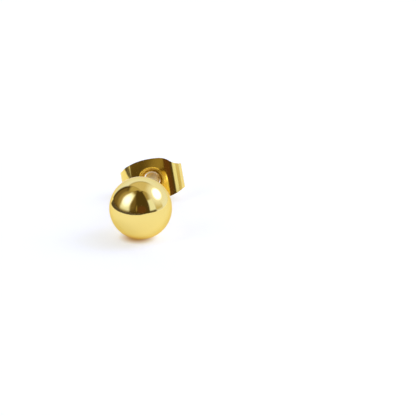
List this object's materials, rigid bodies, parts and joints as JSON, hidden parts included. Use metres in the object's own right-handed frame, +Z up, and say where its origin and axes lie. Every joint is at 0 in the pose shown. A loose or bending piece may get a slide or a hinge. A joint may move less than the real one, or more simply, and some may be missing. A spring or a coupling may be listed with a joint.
{
  "type": "ball stud earring",
  "caption": "Polished ball stud earring lying on its side, with a straight post and a rolled butterfly back that slides on the post.",
  "frame": {"origin": "on the floor, at the middle of the bottom of the stud's box as it lies by itself", "axes": "+Y from the ball towards the post's tip, +X to the right as seen from the ball, +Z up"},
  "size_m": [0.0052, 0.0144, 0.005],
  "materials": {
    "polished_gold": "mirror polished yellow gold colour",
    "pressed_gold_sheet": "bright pressed sheet in the same yellow gold colour, slightly less even than the ball"
  },
  "bodies": {
    "stud": {"ball_with_post": "polished_gold"},
    "back": {"butterfly_back": "pressed_gold_sheet"}
  },
  "joints": [
    {"name": "back_slide", "type": "slide", "parent": "stud", "child": "back", "axis": [0, 0.9956, -0.0935], "range_m": [-0.0055, 0.0045]}
  ]
}
